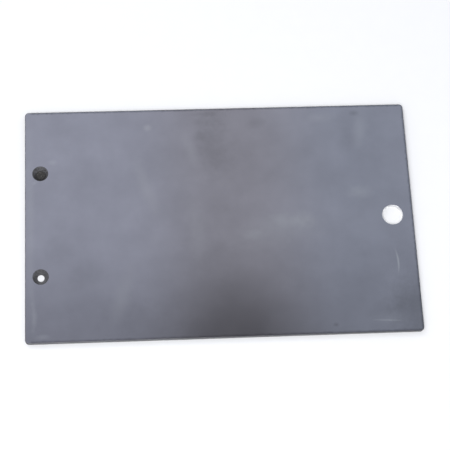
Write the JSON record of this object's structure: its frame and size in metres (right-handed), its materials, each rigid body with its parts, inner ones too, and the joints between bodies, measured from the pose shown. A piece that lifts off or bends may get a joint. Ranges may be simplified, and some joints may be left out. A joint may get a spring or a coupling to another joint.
{
  "type": "rectangular cover plate",
  "caption": "Flat rectangular steel cover plate with small rounded corners, countersunk screw holes across one end and a plain round lift hole near the other.",
  "frame": {"origin": "centre of the underside, on the surface that the plate lies on", "axes": "+X along the plate's length, from the countersunk holes to the lift hole; +Y across its width; +Z out of the top face, which has the countersinks"},
  "size_m": [0.4, 0.25, 0.005],
  "materials": {
    "grey_steel": "satin"
  },
  "bodies": {
    "root": {"cover_plate": "grey_steel"}
  },
  "joints": []
}
